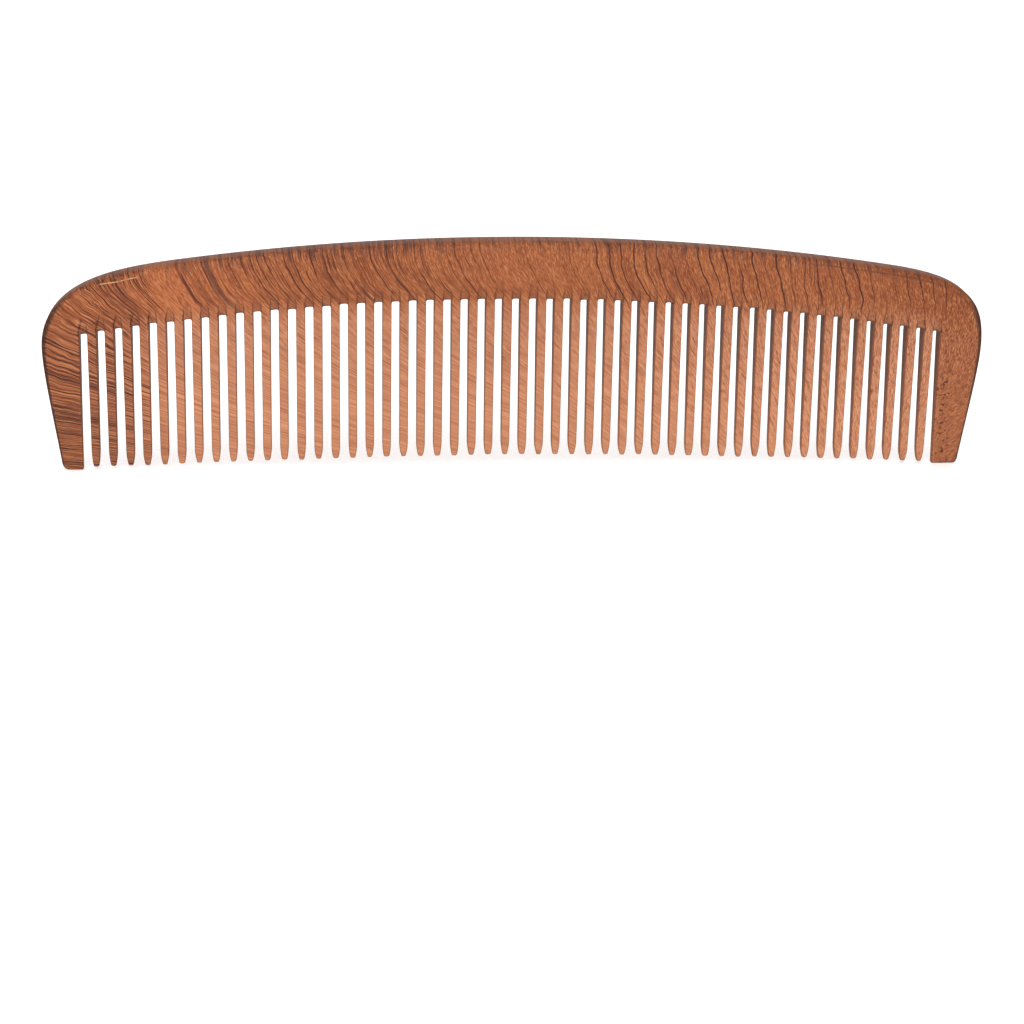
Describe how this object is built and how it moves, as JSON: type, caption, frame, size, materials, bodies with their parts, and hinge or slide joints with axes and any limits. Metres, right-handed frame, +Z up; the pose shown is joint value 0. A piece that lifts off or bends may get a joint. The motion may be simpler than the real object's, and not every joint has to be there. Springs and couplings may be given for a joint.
{
  "type": "beard comb",
  "caption": "Pocket-size wooden beard comb: a flat bar with a gently arched back, round shoulders, wide guard teeth at both ends and a row of fine straight teeth between them.",
  "frame": {"origin": "centre of the comb's box at ground level, under the middle of the comb, which stands on the tips of its two guard teeth", "axes": "+X along the comb towards the wider guard tooth, +Y through the thickness from the front face to the back face, +Z up from the tips to the arched back"},
  "size_m": [0.18, 0.005, 0.0451],
  "materials": {
    "comb_wood": "smooth sanded rosewood-like hardwood with dark brown growth rings, thinly oiled, satin; the teeth are a little lighter and more orange than the spine"
  },
  "bodies": {
    "root": {"spine": "comb_wood", "guard_tooth_left": "comb_wood", "guard_tooth_right": "comb_wood", "tooth_01": "comb_wood", "tooth_02": "comb_wood", "tooth_03": "comb_wood", "tooth_04": "comb_wood", "tooth_05": "comb_wood", "tooth_06": "comb_wood", "tooth_07": "comb_wood", "tooth_08": "comb_wood", "tooth_09": "comb_wood", "tooth_10": "comb_wood", "tooth_11": "comb_wood", "tooth_12": "comb_wood", "tooth_13": "comb_wood", "tooth_14": "comb_wood", "tooth_15": "comb_wood", "tooth_16": "comb_wood", "tooth_17": "comb_wood", "tooth_18": "comb_wood", "tooth_19": "comb_wood", "tooth_20": "comb_wood", "tooth_21": "comb_wood", "tooth_22": "comb_wood", "tooth_23": "comb_wood", "tooth_24": "comb_wood", "tooth_25": "comb_wood", "tooth_26": "comb_wood", "tooth_27": "comb_wood", "tooth_28": "comb_wood", "tooth_29": "comb_wood", "tooth_30": "comb_wood", "tooth_31": "comb_wood", "tooth_32": "comb_wood", "tooth_33": "comb_wood", "tooth_34": "comb_wood", "tooth_35": "comb_wood", "tooth_36": "comb_wood", "tooth_37": "comb_wood", "tooth_38": "comb_wood", "tooth_39": "comb_wood", "tooth_40": "comb_wood", "tooth_41": "comb_wood", "tooth_42": "comb_wood", "tooth_43": "comb_wood", "tooth_44": "comb_wood", "tooth_45": "comb_wood", "tooth_46": "comb_wood", "tooth_47": "comb_wood", "tooth_48": "comb_wood", "tooth_49": "comb_wood", "tooth_50": "comb_wood"}
  },
  "joints": []
}
